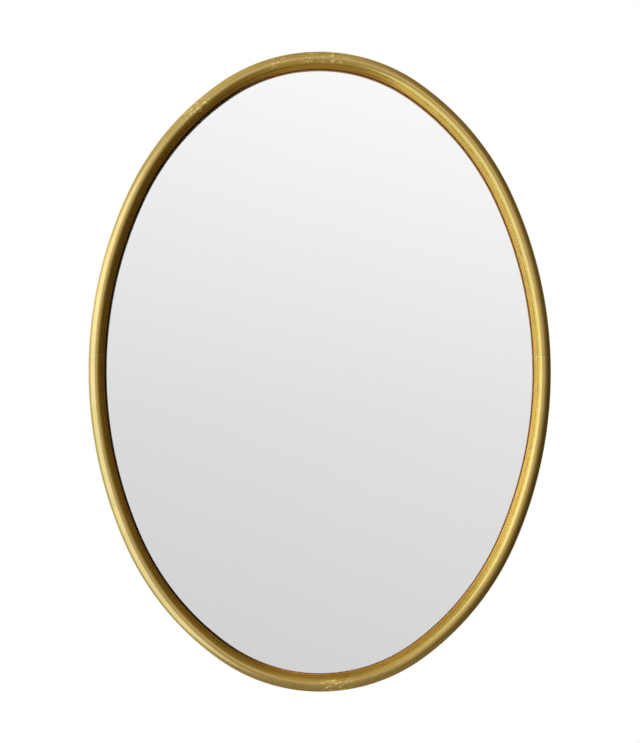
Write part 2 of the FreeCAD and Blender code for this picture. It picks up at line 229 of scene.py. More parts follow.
# Where each fold's own colour, the painted warm reflection, the grime and painted shade, the painted
# shadow and the scuffs begin and end
lip_start = (crease_inset - 0.1 * MM, crease_inset + 0.4 * MM)
# Grime and painted shade in the crease
crease_grime_and_shade_width = 1.0 * MM
# Tarnish and painted shade along the outer rim, where the crown turns away
rim_tarnish_and_shade_depths = (4.5 * MM, 8.5 * MM)
sight_wall_depths = (8.4 * MM, 9.4 * MM)
# Where the painted shadow lies: its depths on the lip, its reach across on the left, and how much it covers
painted_shadow_depths = (6.2 * MM, 8.5 * MM)
painted_shadow_reach = (-120.0 * MM, -30.0 * MM)
painted_shadow_cover = 0.97
# Painted shade on the outer crown, darker towards the bottom of the oval
under_insets = (1.0 * MM, 12.0 * MM)
under_shade_shares = (0.4, 0.05)
under_levels = (-half_height, -0.8 * half_height)
shoulder_insets = (crest_inset + 1.0 * MM, crease_inset - 0.5 * MM)
scuff_insets = (crease_inset - 3.0 * MM, crease_inset)
scuff_spots = (
    # x, z, reach
    (4.0 * MM, 341.0 * MM, 34.0 * MM),
    (16.0 * MM, -339.0 * MM, 22.0 * MM),
    (-138.0 * MM, 285.0 * MM, 26.0 * MM),
    (-50.0 * MM, 335.0 * MM, 16.0 * MM),
)
scuff_core = 0.4
scuff_everywhere = 0.06
joint_line = (0.75, 1.0)
joint_wear = (0.0, 0.3)


def on_oval(angle, inset, depth):
    # A point on the oval from the direction of its outward normal in degrees, an inset and a depth
    side_x = half_width - side_radius
    end_z = half_height - end_radius
    reach = math.hypot(side_x, end_z)
    to_link = side_radius - link_radius
    to_end = link_radius - end_radius
    corner = (to_link ** 2 + reach ** 2 - to_end ** 2) / (2 * to_link * reach)
    low = math.atan2(end_z, -side_x) - math.acos(corner)
    link_x = side_x + to_link * math.cos(low)
    link_z = to_link * math.sin(low)
    high = math.atan2(end_z - link_z, -link_x)
    turn = math.radians(angle)
    right = math.copysign(1, math.cos(turn))
    upper = math.copysign(1, math.sin(turn))
    steep = math.atan2(abs(math.sin(turn)), abs(math.cos(turn)))
    if steep < low:
        x, z, radius = side_x, 0.0, side_radius
    elif steep < high:
        x, z, radius = link_x, link_z, link_radius
    else:
        x, z, radius = 0.0, end_z, end_radius
    out = radius - inset
    return Vector((x * right + out * math.cos(turn), depth - wall_depth, z * upper + out * math.sin(turn)))


def point_mesh(name, points, chain=False):
    # Loose points, or a chain of them for a path
    mesh = bpy.data.meshes.new(name)
    links = [(i, i + 1) for i in range(len(points) - 1)] if chain else []
    mesh.from_pydata(points, links, [])
    return mesh


def new_tree(name, labels):
    # A Geometry Nodes tree that takes a geometry, a material and one named length for each label
    tree = bpy.data.node_groups.new(name, "GeometryNodeTree")
    tree.interface.new_socket("Geometry", in_out="INPUT", socket_type="NodeSocketGeometry")
    tree.interface.new_socket("Material", in_out="INPUT", socket_type="NodeSocketMaterial")
    for label in labels:
        tree.interface.new_socket(label, in_out="INPUT", socket_type="NodeSocketFloat")
    tree.interface.new_socket("Geometry", in_out="OUTPUT", socket_type="NodeSocketGeometry")
    return tree, tree.nodes.new("NodeGroupInput").outputs, tree.nodes.new("NodeGroupOutput").inputs


def grow(name, mesh, tree, values, material, modifiers=()):
    # Runs a tree over a mesh and keeps what it makes as a plain mesh, smooth except at sharp edges
    source = bpy.data.objects.new(name + "_source", mesh)
    bpy.context.scene.collection.objects.link(source)
    grown = source.modifiers.new("grow", "NODES")
    grown.node_group = tree
    given = dict(values, Material=material)
    for item in tree.interface.items_tree:
        if item.in_out == "INPUT" and item.name in given:
            grown[item.identifier] = given[item.name]
    for kind, settings in modifiers:
        extra = source.modifiers.new(kind.lower(), kind)
        for label, value in settings.items():
            setattr(extra, label, value)
    depsgraph = bpy.context.evaluated_depsgraph_get()
    result = bpy.data.meshes.new_from_object(source.evaluated_get(depsgraph), depsgraph=depsgraph)
    bpy.data.objects.remove(source)
    result.shade_smooth()
    result.set_sharp_from_angle(angle=math.radians(32))
    piece = bpy.data.objects.new(name, result)
    bpy.context.scene.collection.objects.link(piece)
    return piece


def moulding_tree(labels):
    # Sweeps the folds of the section along the path one by one and welds them into one sheet
    tree, given, result = new_tree("moulding_sweep", labels)
    slant = math.sqrt(0.5)

    def plus(first, second, share=1.0):
        # The first length, with a share of the second added
        inputs = {0: second, 1: share, 2: first}
        return node(tree, "ShaderNodeMath", inputs, operation="MULTIPLY_ADD").outputs[0]

    def spot(inset, depth):
        return node(tree, "ShaderNodeCombineXYZ", {"X": inset, "Y": depth}).outputs[0]

    def straight(start, end):
        return node(tree, "GeometryNodeCurvePrimitiveLine", {"Start": start, "End": end}).outputs[0]

    def rounded(start, middle, end, points):
        inputs = {"Resolution": points, "Start": start, "Middle": middle, "End": end}
        return node(tree, "GeometryNodeCurveArc", inputs, mode="POINTS").outputs[0]

    def stored(geometry, name, value, data_type="FLOAT"):
        inputs = {"Geometry": geometry, "Name": name, "Value": value}
        return node(tree, "GeometryNodeStoreNamedAttribute", inputs, data_type=data_type).outputs[0]

    crown, bend = given["Crest Inset"], given["Bend Radius"]
    back = given["Flange Depth"]
    face_width = plus(given["Crease Inset"], given["Lip Width"])
    lip_end = plus(given["Crease Depth"], given["Lip Depth"])
    flange_edge = spot(given["Flange Width"], back)
    bend_start = spot(bend, back)
    bend_middle = spot(plus(0.0, bend, 1 - slant), plus(back, bend, slant - 1))
    bend_end = spot(0.0, plus(back, bend, -1.0))
    skirt_top = spot(0.0, crown)
    brow = spot(plus(0.0, crown, 1 - slant), plus(0.0, crown, 1 - slant))
    crest = spot(crown, 0.0)
    shoulder = spot(given["Shoulder Inset"], given["Shoulder Depth"])
    crease = spot(given["Crease Inset"], given["Crease Depth"])
    lip_inset = plus(plus(given["Crease Inset"], given["Lip Width"], 0.5), given["Lip Bulge"], slant)
    lip_level = plus(plus(given["Crease Depth"], given["Lip Depth"], 0.5), given["Lip Bulge"], -slant)
    lip_middle = spot(lip_inset, lip_level)
    lip_foot = spot(face_width, lip_end)
    sight_edge = spot(face_width, given["Seat Depth"])
    folds = [
        straight(flange_edge, bend_start),
        rounded(bend_start, bend_middle, bend_end, points=5),
        straight(bend_end, skirt_top),
        rounded(skirt_top, brow, crest, points=24),
        rounded(crest, shoulder, crease, points=22),
        rounded(crease, lip_middle, lip_foot, points=14),
        straight(lip_foot, sight_edge),
    ]

    path = node(tree, "GeometryNodeMeshToCurve", {"Mesh": given["Geometry"]}).outputs[0]
    path = node(tree, "GeometryNodeSetCurveNormal", {"Curve": path}, mode="Z_UP").outputs[0]
    run = node(tree, "GeometryNodeSplineParameter").outputs["Length"]
    whole = node(tree, "GeometryNodeSplineLength").outputs["Length"]
    path = stored(path, "along", run)
    to_end = maths(tree, "MINIMUM", run, maths(tree, "SUBTRACT", whole, run))
    path = stored(path, "seam", spread(tree, to_end, 0.0, given["Ease Length"], 1.0, 0.0))

    joined = node(tree, "GeometryNodeJoinGeometry")
    position = node(tree, "GeometryNodeInputPosition").outputs[0]
    split = node(tree, "ShaderNodeSeparateXYZ", {0: position})
    outward = maths(tree, "MULTIPLY", split.outputs["X"], -1.0)
    behind = plus(split.outputs["Y"], given["Wall Depth"], -1.0)
    for fold in folds:
        fold = stored(fold, "section", position, data_type="FLOAT_VECTOR")
        placed = {"Geometry": fold, "Position": spot(outward, behind)}
        fold = node(tree, "GeometryNodeSetPosition", placed).outputs[0]
        swept = node(tree, "GeometryNodeCurveToMesh", {"Curve": path, "Profile Curve": fold}).outputs[0]
        tree.links.new(swept, joined.inputs[0])
    turned = node(tree, "GeometryNodeFlipFaces", {"Mesh": joined.outputs[0]}).outputs[0]
    weld = {"Geometry": turned, "Distance": weld_distance}
    welded = node(tree, "GeometryNodeMergeByDistance", weld).outputs[0]

    seam = node(tree, "GeometryNodeInputNamedAttribute", {"Name": "seam"}).outputs[0]
    normal = node(tree, "GeometryNodeInputNormal").outputs[0]
    ease = maths(tree, "MULTIPLY", seam, maths(tree, "MULTIPLY", given["Seam Ease"], -1.0))
    sink = node(tree, "ShaderNodeVectorMath", {0: normal, "Scale": ease}, operation="SCALE").outputs[0]
    eased = node(tree, "GeometryNodeSetPosition", {"Geometry": welded, "Offset": sink}).outputs[0]
    upright = {"Geometry": eased, "Rotation": (math.radians(90), 0, 0)}
    stood = node(tree, "GeometryNodeTransform", upright).outputs[0]
    whole_sheet = node(tree, "GeometryNodeRealizeInstances", {"Geometry": stood}).outputs[0]
    finished = {"Geometry": whole_sheet, "Material": given["Material"]}
    tree.links.new(node(tree, "GeometryNodeSetMaterial", finished).outputs[0], result["Geometry"])
    return tree


def moulding_path(name, first, last):
    # Points along half the oval, a step in degrees apart, and closer together where the seam edges are eased
    ends = [seam_step * i for i in range(seam_points)]
    count = round((last - first) / path_step)
    inner = [first + (last - first) * i / count for i in range(1, count)]
    angles = [first + e for e in ends] + inner + [last - e for e in reversed(ends)]
    flat = [on_oval(angle, 0.0, wall_depth) for angle in angles]
    return point_mesh(name, [(point.x, point.z, 0.0) for point in flat], chain=True)


def satin_brass():
    # Brushed brass whose colour changes from fold to fold, with a painted warm reflection on the inner
    # shoulder, grime and painted shade in the folds, on the rim and towards the bottom, a painted shadow at
    # the left sight edge, and rubbed places
    material, tree, shader, place = new_material("moulding_brass")
    section = node(tree, "ShaderNodeAttribute", attribute_name="section").outputs["Vector"]
    along = node(tree, "ShaderNodeAttribute", attribute_name="along").outputs["Fac"]
    seam = node(tree, "ShaderNodeAttribute", attribute_name="seam").outputs["Fac"]
    split = node(tree, "ShaderNodeSeparateXYZ", {0: section}).outputs
    inset, depth = split["X"], split["Y"]
    spot = node(tree, "ShaderNodeSeparateXYZ", {0: place}).outputs
    across, level = spot["X"], spot["Z"]

    def times(first, second):
        return maths(tree, "MULTIPLY", first, second)

    def unrolled(lengthwise, crosswise):
        # A space that runs along the moulding and round its section, each with a scale of its own
        inputs = {"X": times(along, lengthwise), "Y": times(inset, crosswise), "Z": times(depth, crosswise)}
        return node(tree, "ShaderNodeCombineXYZ", inputs).outputs[0]

    spaces = {"Place": place, "Stretched": unrolled(lengthwise=1100.0, crosswise=70.0)}
    marks = node(tree, "ShaderNodeGroup", spaces, node_tree=metal_marks).outputs

    # Painted warm reflection: the crown's inner shoulder is tinted warmer, for the warm light that it faces
    shoulder = spread(tree, inset, *shoulder_insets)
    lip = spread(tree, inset, *lip_start)
    sight_wall = times(lip, spread(tree, depth, *sight_wall_depths))
    from_crease = maths(tree, "ABSOLUTE", maths(tree, "SUBTRACT", inset, crease_inset))
    uneven = noise(tree, place, scale=70.0, detail=3.0, roughness=0.6)
    # Grime and painted shade along the crease, uneven along its length
    crease = spread(tree, from_crease, 0.0, crease_grime_and_shade_width, 1.0, 0.0)
    crease = times(crease, spread(tree, uneven, 0.35, 0.65, 0.5, 1.3))
    # Tarnish and painted shade: a dark line along the outer rim of the crown
    outside = spread(tree, inset, 0.0, crest_inset / 2, 1.0, 0.0)
    rim_tarnish_and_shade = times(outside, spread(tree, depth, *rim_tarnish_and_shade_depths))
    joint = spread(tree, seam, *joint_line)
    worn = times(spread(tree, seam, *joint_wear), maths(tree, "SUBTRACT", 1.0, joint))
    # Painted shade: the outer crown grows darker towards the bottom of the oval
    underside = spread(tree, level, *under_levels, 1.0, 0.0)
    under_shade = times(underside, spread(tree, inset, *under_insets, *under_shade_shares))
    # The crease, rim and bottom shares are partly painted shade; the sight wall and joint shares are grime
    dirt_and_shade = 0.0
    for mask, share in ((crease, 0.36), (sight_wall, 0.06), (joint, 0.5), (rim_tarnish_and_shade, 0.6), (under_shade, 1.0)):
        dirt_and_shade = maths(tree, "MAXIMUM", dirt_and_shade, times(mask, share))
    # Painted shadow: the left sight edge, whose wall faces away from the light, is painted near black and
    # matt
    foot = times(lip, spread(tree, depth, *painted_shadow_depths))
    painted_shadow = times(foot, spread(tree, across, *painted_shadow_reach, painted_shadow_cover, 0.0))

    rubbed = unrolled(lengthwise=200.0, crosswise=400.0)
    flecks = noise(tree, rubbed, scale=1.0, detail=3.0, roughness=0.6)
    patches = scuff_everywhere
    for x, z, reach in scuff_spots:
        away = node(tree, "ShaderNodeVectorMath", {0: place, 1: (x, -wall_depth, z)}, operation="DISTANCE")
        patch = spread(tree, away.outputs["Value"], reach * scuff_core, reach, 1.0, 0.0)
        patches = maths(tree, "MAXIMUM", patches, patch)
    patches = times(patches, spread(tree, inset, *scuff_insets, 1.0, 0.0))
    scuffs = times(patches, spread(tree, flecks, 0.53, 0.62))

    colour = mixed(tree, marks["Mottle"], brass, brass_dull)
    for mask, share, tone in (
        (shoulder, 0.9, brass_warm_reflection),
        (lip, 0.85, lip_copper),
        (sight_wall, 0.9, sight_copper),
        (dirt_and_shade, 1.0, grime_and_shade),
        (scuffs, 0.9, scuff_pale),
        (worn, 0.25, scuff_pale),
        (painted_shadow, 1.0, painted_shadow_black),
    ):
        colour = mixed(tree, times(mask, share), colour, tone)
    tree.links.new(colour, shader.inputs["Base Color"])
    tree.links.new(maths(tree, "SUBTRACT", 1.0, painted_shadow), shader.inputs["Metallic"])
    shader.inputs["Specular Tint"].default_value = edge_tint
    shader.inputs["Specular IOR Level"].default_value = 0.0
    rough = spread(tree, marks["Lines"], 0.3, 0.7, 0.16, 0.23)
    for mask, share in ((dirt_and_shade, 0.25), (painted_shadow, 0.7)):
        rough = maths(tree, "ADD", rough, times(mask, share))
    tree.links.new(rough, shader.inputs["Roughness"])
    height = maths(tree, "ADD", marks["Lines"], marks["Specks"])
    emboss(tree, shader, height, strength=0.05, distance=0.01 * MM)
    return material


moulding_brass = satin_brass()
crown_run = crease_inset - crest_inset
shoulder_radius = (crown_run ** 2 + crease_depth ** 2) / (2 * crease_depth)
shoulder_turn = math.atan2(crease_depth, crown_run)
moulding_sizes = {
    "Crest Inset": crest_inset,
    "Crease Inset": crease_inset,
    "Crease Depth": crease_depth,
    "Shoulder Inset": crest_inset + shoulder_radius * math.sin(shoulder_turn),
    "Shoulder Depth": shoulder_radius * (1 - math.cos(shoulder_turn)),
    "Lip Width": lip_width,
    "Lip Depth": lip_depth,
    "Lip Bulge": lip_bulge,
    "Seat Depth": seat_depth,
    "Bend Radius": bend_radius,
    "Flange Width": flange_width,
    "Flange Depth": flange_depth,
    "Wall Depth": wall_depth,
    "Seam Ease": seam_ease,
    "Ease Length": ease_length,
}
moulding = moulding_tree(moulding_sizes)
thickness = ("SOLIDIFY", {"thickness": sheet, "offset": -1.0, "use_even_offset": True})
seam_angle = math.degrees(math.asin(seam_rise / side_radius))
seam_half = math.degrees(seam_gap / 2 / side_radius)
for name, first, last in (
    ("frame_upper", seam_angle + seam_half, 180 - seam_angle - seam_half),
    ("frame_lower", 180 - seam_angle + seam_half, 360 + seam_angle - seam_half),
):
    path = moulding_path(name + "_path", first, last)
    half = grow(name, path, moulding, moulding_sizes, moulding_brass, [thickness])
    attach(half, "mirror")
    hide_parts(name + "_half")

# Frame pins: sixteen small brass pins with domed heads, driven through the flange into the core.
# They are cut from drawn wire, so the heads are brighter than the flange.
pin_angles = (6.0, 24.0, 46.0, 76.0)
pin_inset = 2.35 * MM
pin_bright = (0.72, 0.50, 0.17, 1)
pin_dull = (0.55, 0.36, 0.12, 1)
pin_sizes = {"Head Radius": 0.75 * MM, "Head Height": 0.4 * MM, "Shank Radius": 0.5 * MM, "Length": 8.0 * MM}


def turned_tree(name, labels, shape):
    # Sets a shape that points along +Z on every point, turned to point backward along +Y
    tree, given, result = new_tree(name, labels)
    spin = node(tree, "GeometryNodeInputNamedAttribute", {"Name": "spin"}).outputs[0]
    backward = (math.radians(-90), 0, 0)
    inputs = {"Points": given["Geometry"], "Instance": shape(tree, given), "Rotation": backward}
    placed = node(tree, "GeometryNodeInstanceOnPoints", inputs).outputs[0]
    turn = node(tree, "ShaderNodeCombineXYZ", {"Z": spin}).outputs[0]
    spun = node(tree, "GeometryNodeRotateInstances", {"Instances": placed, "Rotation": turn}).outputs[0]
    real = node(tree, "GeometryNodeRealizeInstances", {"Geometry": spun}).outputs[0]
    finished = {"Geometry": real, "Material": given["Material"]}
    tree.links.new(node(tree, "GeometryNodeSetMaterial", finished).outputs[0], result["Geometry"])
    return tree


def lifted(tree, mesh, rise):
    # A mesh moved up along its own axis
    lift = node(tree, "ShaderNodeCombineXYZ", {"Z": rise}).outputs[0]
    return node(tree, "GeometryNodeTransform", {"Geometry": mesh, "Translation": lift}).outputs[0]


def cylinder(tree, radius, height, low, sides):
    # An upright cylinder whose foot is at a level
    inputs = {"Vertices": sides, "Radius": radius, "Depth": height}
    made = node(tree, "GeometryNodeMeshCylinder", inputs).outputs["Mesh"]
    middle = maths(tree, "ADD", maths(tree, "MULTIPLY", height, 0.5), low)
    return lifted(tree, made, middle)


def joined_mesh(tree, *parts):
    # Several meshes as one
    together = node(tree, "GeometryNodeJoinGeometry")
    for part in parts:
        tree.links.new(part, together.inputs[0])
    return together.outputs[0]


def pin_shape(tree, given):
    # A domed head on a plain shank
    unit_ball = {"Segments": 20, "Rings": 12, "Radius": 1.0}
    ball = node(tree, "GeometryNodeMeshUVSphere", unit_ball).outputs["Mesh"]
    radii = {"X": given["Head Radius"], "Y": given["Head Radius"], "Z": given["Head Height"]}
    size = node(tree, "ShaderNodeCombineXYZ", radii).outputs[0]
    head = node(tree, "GeometryNodeTransform", {"Geometry": ball, "Scale": size}).outputs[0]
    foot = maths(tree, "MULTIPLY", given["Length"], -1.0)
    return joined_mesh(tree, head, cylinder(tree, given["Shank Radius"], given["Length"], foot, sides=16))


def spin_points(name, seats):
    # A point for each seat, with the turn of the piece about its own axis in degrees
    mesh = point_mesh(name, [seat for seat, spin in seats])
    turns = mesh.attributes.new("spin", "FLOAT", "POINT")
    for value, (seat, spin) in zip(turns.data, seats):
        value.value = math.radians(spin)
    return mesh


pin_places = []
for angle in pin_angles:
    for turned in (angle, 180 - angle, 180 + angle, 360 - angle):
        pin_places.append((on_oval(turned, pin_inset, flange_depth), 0.0))
pin_brass = metal("pin_brass", pin_bright, pin_dull, roughness=0.24, stretch=(700.0, 90.0, 700.0))
pin_tree = turned_tree("pins", pin_sizes, pin_shape)
pins = grow("pins", spin_points("pin_points", pin_places), pin_tree, pin_sizes, pin_brass)
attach(pins, "mirror")
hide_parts("frame_pins")

# Glass tape: a ring of brown felt tape stuck in the rebate, which keeps the pane off the brass.
# From the front it shows only as a warm hairline between the sight edge and the mirror.
felt_light = (0.62, 0.27, 0.06, 1)
felt_dark = (0.50, 0.21, 0.045, 1)


def felted(name, light, dark, grain, roughness, relief):
    # Matt materials with a fine nap or grain: felt and rubber
    material, tree, shader, place = new_material(name)
    nap = noise(tree, place, scale=grain, detail=4.0, roughness=0.7)
    cloud = noise(tree, place, scale=grain / 40, detail=3.0)
    tone = spread(tree, maths(tree, "MULTIPLY", nap, cloud), 0.15, 0.37)
    tree.links.new(mixed(tree, tone, dark, light), shader.inputs["Base Color"])
    tree.links.new(spread(tree, cloud, 0.35, 0.65, *roughness), shader.inputs["Roughness"])
    emboss(tree, shader, nap, strength=0.4, distance=relief)
    return material


tape_felt = felted("tape_felt", felt_light, felt_dark, grain=2600.0, roughness=(0.85, 0.98), relief=0.15 * MM)
dress("glass_tape", tape_felt)

# Pane: 4 mm float glass cut to the oval, with its edges eased by an arris.
# Its back is silvered and painted. The silver lies on the glass itself, so the two have no air between them.
glass_inset = 13.2 * MM
glass_depth = 13.1 * MM
coating_inset = glass_inset + 0.5 * MM
coating_depth = 17.1 * MM
coating_back = 17.3 * MM
arris = 0.4 * MM
# The pane stands this far off the tape, and the silver lies this deep in the glass
contact = 0.03 * MM
oval_sides = 480
glass_ior = 1.52
glass_pale = (0.985, 0.995, 0.990, 1)
glass_green = (0.975, 0.990, 0.983, 1)
silver_bright = (0.957, 0.940, 0.947, 1)
silver_dim = (0.942, 0.926, 0.934, 1)


def oval_solid(name, rings, material):
    # A closed solid through a row of ovals, each given by its inset and depth, front to back
    points = []
    for inset, depth in rings:
        points += [on_oval(360 * i / oval_sides, inset, depth) for i in range(oval_sides)]
    faces = [list(range(oval_sides))]
    for ring in range(len(rings) - 1):
        low = ring * oval_sides
        for i in range(oval_sides):
            after = (i + 1) % oval_sides
            faces.append((low + i, low + oval_sides + i, low + oval_sides + after, low + after))
    faces.append([len(points) - 1 - i for i in range(oval_sides)])
    mesh = bpy.data.meshes.new(name)
    mesh.from_pydata(points, [], faces)
    mesh.materials.append(material)
    mesh.shade_smooth()
    mesh.set_sharp_from_angle(angle=math.radians(25))
    piece = bpy.data.objects.new(name, mesh)
    bpy.context.scene.collection.objects.link(piece)
    return piece


def float_glass():
    # Clear glass with a faint green cast and the slightest haze of wiped dust
    material, tree, shader, place = new_material("pane_glass")
    wiped = noise(tree, place, scale=7.0, detail=5.0, distortion=1.5)
    tree.links.new(spread(tree, wiped, 0.45, 0.8, 0.0, 0.02), shader.inputs["Roughness"])
    tree.links.new(mixed(tree, wiped, glass_pale, glass_green), shader.inputs["Base Color"])
    shader.inputs["IOR"].default_value = glass_ior
    shader.inputs["Transmission Weight"].default_value = 1.0
    return material


def silvering():
    # A bright silver film with the slightest cloud in it
    material, tree, shader, place = new_material("silvering")
    cloud = noise(tree, place, scale=3.0, detail=2.0)
    tree.links.new(mixed(tree, cloud, silver_bright, silver_dim), shader.inputs["Base Color"])
    tree.links.new(spread(tree, cloud, 0.3, 0.7, 0.0, 0.012), shader.inputs["Roughness"])
    shader.inputs["Metallic"].default_value = 1.0
    return material


pane_rings = [
    (glass_inset + arris, glass_depth + contact),
    (glass_inset, glass_depth + arris),
    (glass_inset, coating_depth - arris),
    (glass_inset + arris, coating_depth),
]
pane = oval_solid("pane", pane_rings, float_glass())
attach(pane, "mirror")
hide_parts("mirror_glass")
silver_rings = [(coating_inset, coating_depth - contact), (coating_inset, coating_back)]
silver = oval_solid("silver", silver_rings, silvering())
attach(silver, "mirror")
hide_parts("silver_coating")

# Setting blocks: six short strips of hard black rubber, cut from extruded strip and pushed in between the
# edge of the pane and the rebate, where they centre the glass and take its weight.
block_light = (0.045, 0.045, 0.045, 1)
block_dark = (0.02, 0.02, 0.02, 1)
block_rubber = felted(
    "block_rubber", block_light, block_dark, grain=1400.0, roughness=(0.6, 0.75), relief=0.05 * MM)
dress("setting_blocks", block_rubber)

# Back board: 5 mm hardboard cut to the oval and bevelled along its back edge, so that it drops into the
# rebate. It is wood fibre pressed hot on a wire screen, which leaves a fine weave in the back face.
board_light = (0.275, 0.165, 0.085, 1)
board_dark = (0.185, 0.10, 0.047, 1)
weave_pitch = 1.3 * MM


def hardboard():
    # Pressed fibre with faint stains, and the weave of the screen in its tone and relief
    material, tree, shader, place = new_material("hardboard")
    split = node(tree, "ShaderNodeSeparateXYZ", {0: place})
    fibres = noise(tree, place, scale=420.0, detail=5.0, roughness=0.75)
    stains = noise(tree, place, scale=6.0, detail=4.0)
    wires = []
    for axis in ("X", "Z"):
        turns = maths(tree, "MULTIPLY", split.outputs[axis], 2 * math.pi / weave_pitch)
        wires.append(maths(tree, "SINE", turns))
    weave = maths(tree, "MULTIPLY", wires[0], wires[1])
    tone = fibres
    for pattern, share in ((weave, 0.03), (stains, 0.12)):
        tone = maths(tree, "ADD", tone, maths(tree, "MULTIPLY", pattern, share))
    colour = mixed(tree, spread(tree, tone, 0.42, 0.72), board_dark, board_light)
    tree.links.new(colour, shader.inputs["Base Color"])
    tree.links.new(spread(tree, fibres, 0.35, 0.65, 0.58, 0.72), shader.inputs["Roughness"])
    height = maths(tree, "ADD", fibres, maths(tree, "MULTIPLY", weave, 0.4))
    emboss(tree, shader, height, strength=0.5, distance=0.15 * MM)
    return material


dress("back_board", hardboard())

# Turn buttons: eight pressed zinc-plated steel tongues, each on a washer and a slotted pan-head screw.
# Turned inward they hold the board, and turned along the frame they let it out.
button_angles = (14.5, 60.0, 120.0, 165.5, 194.5, 240.0, 300.0, 345.5)
button_inset = 7.7 * MM
button_thickness = 1.2 * MM
button_lift = 0.1 * MM
land_depth = 21.3 * MM
washer_thickness = 1.0 * MM
washer_sizes = {
    "Radius": 3.4 * MM,
    "Bore Radius": 1.48 * MM,
    "Thickness": washer_thickness,
    "Reach": 5.0 * MM,
}
slot_turn_share = 3
head_rise = 1.1 * MM
head_radius = 2.8 * MM
screw_sizes = {
    "Head Radius": head_radius,
    "Head Height": 1.8 * MM,
    "Dome Radius": (head_radius ** 2 + head_rise ** 2) / (2 * head_rise),
    "Slot Width": 0.8 * MM,
    "Slot Depth": 0.8 * MM,
    "Shank Radius": 1.4 * MM,
    "Bite": 11.0 * MM,
}
zinc = (0.60, 0.605, 0.61, 1)
zinc_dull = (0.44, 0.445, 0.45, 1)
zinc_washer = (0.58, 0.585, 0.59, 1)
zinc_screw = (0.64, 0.64, 0.63, 1)
button_steel = metal("button_steel", zinc, zinc_dull, roughness=0.36, stretch=(260.0, 260.0, 900.0))
for number in range(1, len(button_angles) + 1):
    dress("turn_button_%d" % number, button_steel)


def washer_shape(tree, given):
    # A flat disc with a bore
    disc = cylinder(tree, given["Radius"], given["Thickness"], 0.0, sides=48)
    low = maths(tree, "MULTIPLY", given["Reach"], -0.5)
    bore = cylinder(tree, given["Bore Radius"], given["Reach"], low, sides=32)
    cut = node(tree, "GeometryNodeMeshBoolean", operation="DIFFERENCE", solver="EXACT")
    tree.links.new(disc, cut.inputs["Mesh 1"])
    tree.links.new(bore, cut.inputs["Mesh 2"])
    return cut.outputs["Mesh"]


def screw_shape(tree, given):
    # A domed head cut by a slot, on a plain shank
    blank = cylinder(tree, given["Head Radius"], given["Head Height"], 0.0, sides=48)
    dome = {"Segments": 48, "Rings": 64, "Radius": given["Dome Radius"]}
    ball = node(tree, "GeometryNodeMeshUVSphere", dome).outputs["Mesh"]
    ball = lifted(tree, ball, maths(tree, "SUBTRACT", given["Head Height"], given["Dome Radius"]))
    domed = node(tree, "GeometryNodeMeshBoolean", operation="INTERSECT", solver="EXACT")
    tree.links.new(blank, domed.inputs["Mesh 2"])
    tree.links.new(ball, domed.inputs["Mesh 2"])
    # The bar that cuts the slot is longer than the head, and half of it stands above the head
    long = maths(tree, "MULTIPLY", given["Head Radius"], 3.0)
    deep = maths(tree, "MULTIPLY", given["Slot Depth"], 2.0)
    size = node(tree, "ShaderNodeCombineXYZ", {"X": long, "Y": given["Slot Width"], "Z": deep}).outputs[0]
    bar = node(tree, "GeometryNodeMeshCube", {"Size": size}).outputs["Mesh"]
    slotted = node(tree, "GeometryNodeMeshBoolean", operation="DIFFERENCE", solver="EXACT")
    tree.links.new(domed.outputs["Mesh"], slotted.inputs["Mesh 1"])
    tree.links.new(lifted(tree, bar, given["Head Height"]), slotted.inputs["Mesh 2"])
    foot = maths(tree, "MULTIPLY", given["Bite"], -1.0)
    shank = cylinder(tree, given["Shank Radius"], given["Bite"], foot, sides=24)
    return joined_mesh(tree, slotted.outputs["Mesh"], shank)


screw_steel = metal("screw_steel", zinc_screw, zinc_dull, roughness=0.30, stretch=(800.0, 120.0, 800.0))
washer_steel = metal("washer_steel", zinc_washer, zinc_dull, roughness=0.34, stretch=(300.0, 300.0, 300.0))
washer_tree = turned_tree("washers", washer_sizes, washer_shape)
screw_tree = turned_tree("screws", screw_sizes, screw_shape)
head_depth = land_depth + washer_thickness + button_thickness + 2 * button_lift
washer_places = []
button_screw_places = []
for angle in button_angles:
    washer_places.append((on_oval(angle, button_inset, land_depth), 0.0))
    button_screw_places.append((on_oval(angle, button_inset, head_depth), angle * slot_turn_share))
washer_points = spin_points("washer_points", washer_places)
washers = grow("washer_group", washer_points, washer_tree, washer_sizes, washer_steel)
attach(washers, "mirror")
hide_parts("washers")
button_screw_points = spin_points("button_screw_points", button_screw_places)
button_screws = grow("button_screws", button_screw_points, screw_tree, screw_sizes, screw_steel)
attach(button_screws, "mirror")
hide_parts("turn_button_screws")

# Strap hangers: plated steel straps rolled into an eye, each held by two screws, with a D-ring of bent wire
# that hangs down from the eye and swings up to take a wall hook.
hanger_angle = 34.0
hanger_inset = 7.9 * MM
hanger_reach = 28.5 * MM
hanger_plate = 1.2 * MM
hanger_screw_distances = (15.5 * MM, 24.0 * MM)
ring_bright = (0.66, 0.66, 0.66, 1)
hanger_steel = metal("hanger_steel", zinc, zinc_dull, roughness=0.33, stretch=(500.0, 500.0, 120.0))
ring_steel = metal("ring_steel", ring_bright, zinc_dull, roughness=0.22, stretch=(300.0, 300.0, 300.0))
hanger_screw_places = []
for side, angle, upward in (("right", hanger_angle, 1), ("left", 180 - hanger_angle, -1)):
    dress("hanger_strap_" + side, hanger_steel)
    dress("hanger_ring_" + side, ring_steel)
    turn = math.radians(angle)
    up = Vector((-math.sin(turn), 0, math.cos(turn))) * upward
    eye = on_oval(angle, hanger_inset, land_depth + hanger_plate) + up * (hanger_reach / 2)
    for distance in hanger_screw_distances:
        hanger_screw_places.append((eye - up * distance, angle))
hanger_screw_points = spin_points("hanger_screw_points", hanger_screw_places)
hanger_screws = grow("hanger_screw_group", hanger_screw_points, screw_tree, screw_sizes, screw_steel)
